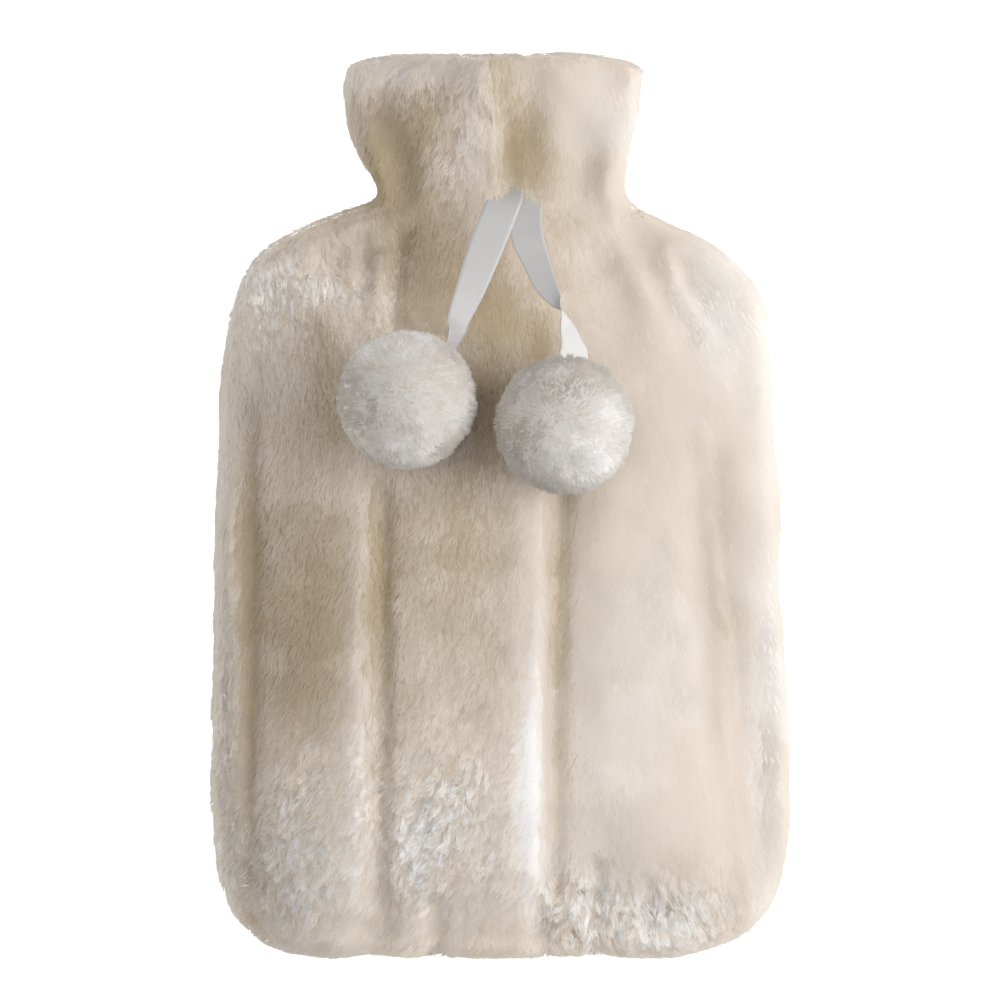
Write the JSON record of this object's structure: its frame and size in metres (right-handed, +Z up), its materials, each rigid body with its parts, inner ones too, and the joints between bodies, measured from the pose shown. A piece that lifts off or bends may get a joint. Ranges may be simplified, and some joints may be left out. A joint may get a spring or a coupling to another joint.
{
  "type": "plush hot water bottle cover",
  "caption": "Cream long-pile plush cover for a hot water bottle, with a gathered neck, satin ribbon ends and wool pompoms.",
  "frame": {"origin": "middle of the underside, on the surface that the cover lies on", "axes": "+Y from the foot to the neck, +X across the front to the viewer's right, +Z up out of the front"},
  "size_m": [0.2333, 0.363, 0.1119],
  "materials": {
    "plush": "long silky pile",
    "ribbon": "satin",
    "pompom": "fluffy cut yarn"
  },
  "bodies": {
    "root": {"front_panel": "plush", "back_panel": "plush", "ribbon_tail_left": "ribbon", "ribbon_tail_right": "ribbon", "pompom_left": "pompom", "pompom_right": "pompom"}
  },
  "joints": []
}
